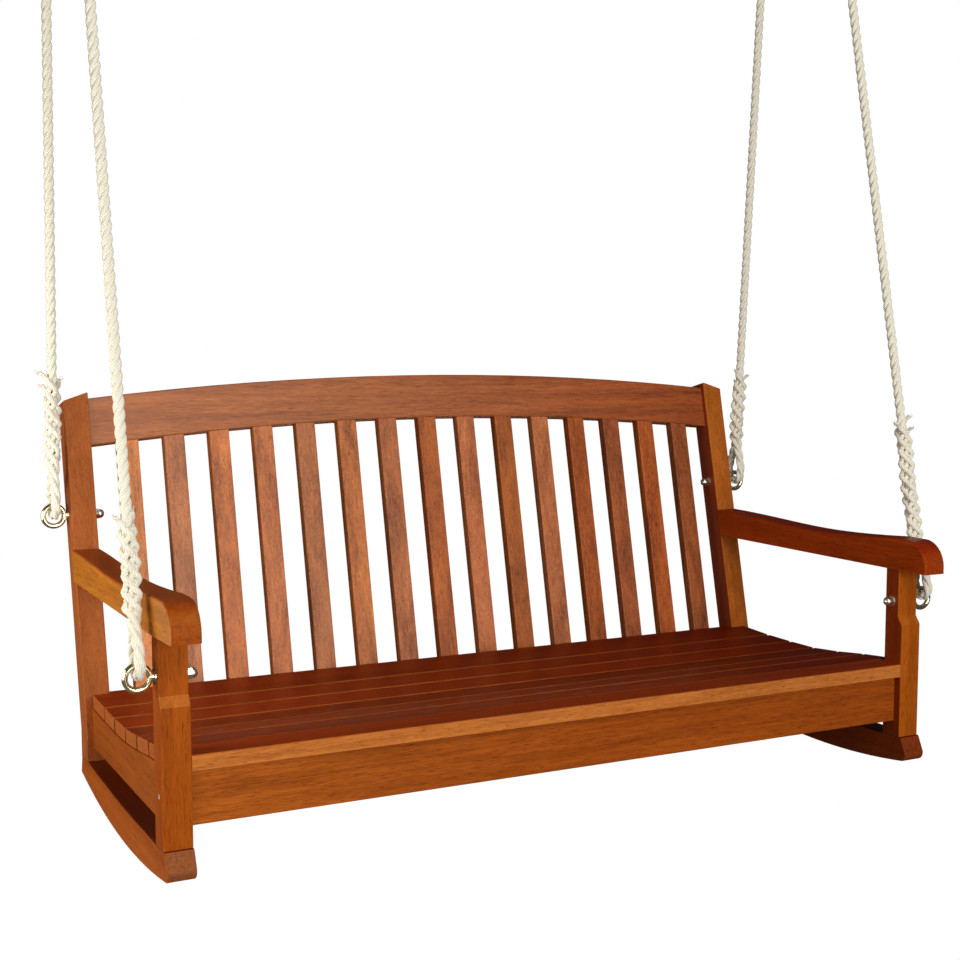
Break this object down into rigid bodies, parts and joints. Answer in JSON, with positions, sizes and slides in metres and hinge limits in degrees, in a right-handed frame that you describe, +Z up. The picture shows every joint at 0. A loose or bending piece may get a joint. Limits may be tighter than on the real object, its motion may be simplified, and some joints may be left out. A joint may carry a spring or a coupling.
{
  "type": "porch swing seat",
  "caption": "Slatted hardwood porch swing bench with armrests and an arched crest rail, hung by spliced ropes from ceiling hooks.",
  "frame": {"origin": "on the ceiling plane, at the centre of the rectangle of four hook shanks", "axes": "+X to the right of someone facing the seat, +Y from the seat's front to its back, +Z up"},
  "size_m": [1.309, 0.635, 1.5675],
  "materials": {
    "post_wood": "oiled satin",
    "frame_wood": "oiled satin",
    "skid_wood": "oiled satin",
    "arm_wood": "oiled satin",
    "seat_wood": "oiled satin",
    "back_wood": "oiled satin",
    "crest_wood": "oiled satin",
    "dowel_wood": "plain",
    "eye_bolt_brass": "polished",
    "nut_metal": "polished",
    "pin_steel": "plain",
    "hook_steel": "zinc plated",
    "rope": "three-strand twisted"
  },
  "bodies": {
    "ceiling_hooks": {"left_front_hook": "hook_steel", "right_front_hook": "hook_steel", "left_rear_hook": "hook_steel", "right_rear_hook": "hook_steel"},
    "seat": {"left_skid": "skid_wood", "left_front_post": "post_wood", "left_rear_post": "post_wood", "left_side_rail": "frame_wood", "left_arm": "arm_wood", "left_front_eye_bolt": "eye_bolt_brass", "left_rear_eye_bolt": "eye_bolt_brass", "left_seat_batten": "frame_wood", "right_skid": "skid_wood", "right_front_post": "post_wood", "right_rear_post": "post_wood", "right_side_rail": "frame_wood", "right_arm": "arm_wood", "right_front_eye_bolt": "eye_bolt_brass", "right_rear_eye_bolt": "eye_bolt_brass", "right_seat_batten": "frame_wood", "front_apron": "frame_wood", "rear_apron": "frame_wood", "crest_rail": "crest_wood", "lower_back_rail": "crest_wood", "eye_bolt_washers": "eye_bolt_brass", "cap_nuts": "nut_metal", "frame_dowels": "dowel_wood", "slat_pins": "pin_steel", "post_screws": "pin_steel", "seat_slat_1": "seat_wood", "seat_slat_2": "seat_wood", "seat_slat_3": "seat_wood", "seat_slat_4": "seat_wood", "seat_slat_5": "seat_wood", "seat_slat_6": "seat_wood", "seat_slat_7": "seat_wood", "back_slat_01": "back_wood", "back_slat_02": "back_wood", "back_slat_03": "back_wood", "back_slat_04": "back_wood", "back_slat_05": "back_wood", "back_slat_06": "back_wood", "back_slat_07": "back_wood", "back_slat_08": "back_wood", "back_slat_09": "back_wood", "back_slat_10": "back_wood", "back_slat_11": "back_wood", "back_slat_12": "back_wood", "back_slat_13": "back_wood", "back_slat_14": "back_wood", "back_slat_15": "back_wood"},
    "front_ropes": {"left_front_rope": "rope", "left_front_splices": "rope", "right_front_rope": "rope", "right_front_splices": "rope"},
    "rear_ropes": {"left_rear_rope": "rope", "left_rear_splices": "rope", "right_rear_rope": "rope", "right_rear_splices": "rope"}
  },
  "joints": [
    {"name": "swing", "type": "hinge", "parent": "ceiling_hooks", "child": "front_ropes", "pos_m": [0, -0.097, -0.06], "axis": [1, 0, 0], "range_deg": [-12, 12]},
    {"name": "seat_on_front_ropes", "type": "hinge", "parent": "front_ropes", "child": "seat", "pos_m": [0, -0.3375, -1.2285], "axis": [1, 0, 0], "range_deg": [-4.8, 4.8]},
    {"name": "rear_swing", "type": "hinge", "parent": "ceiling_hooks", "child": "rear_ropes", "pos_m": [0, 0.097, -0.06], "axis": [1, 0, 0], "range_deg": [-12.8, 12.8]}
  ],
  "couplings": [
    {"joint": "seat_on_front_ropes", "follows": "swing", "ratio": -0.37954},
    {"joint": "rear_swing", "follows": "swing", "ratio": 1.0546}
  ]
}
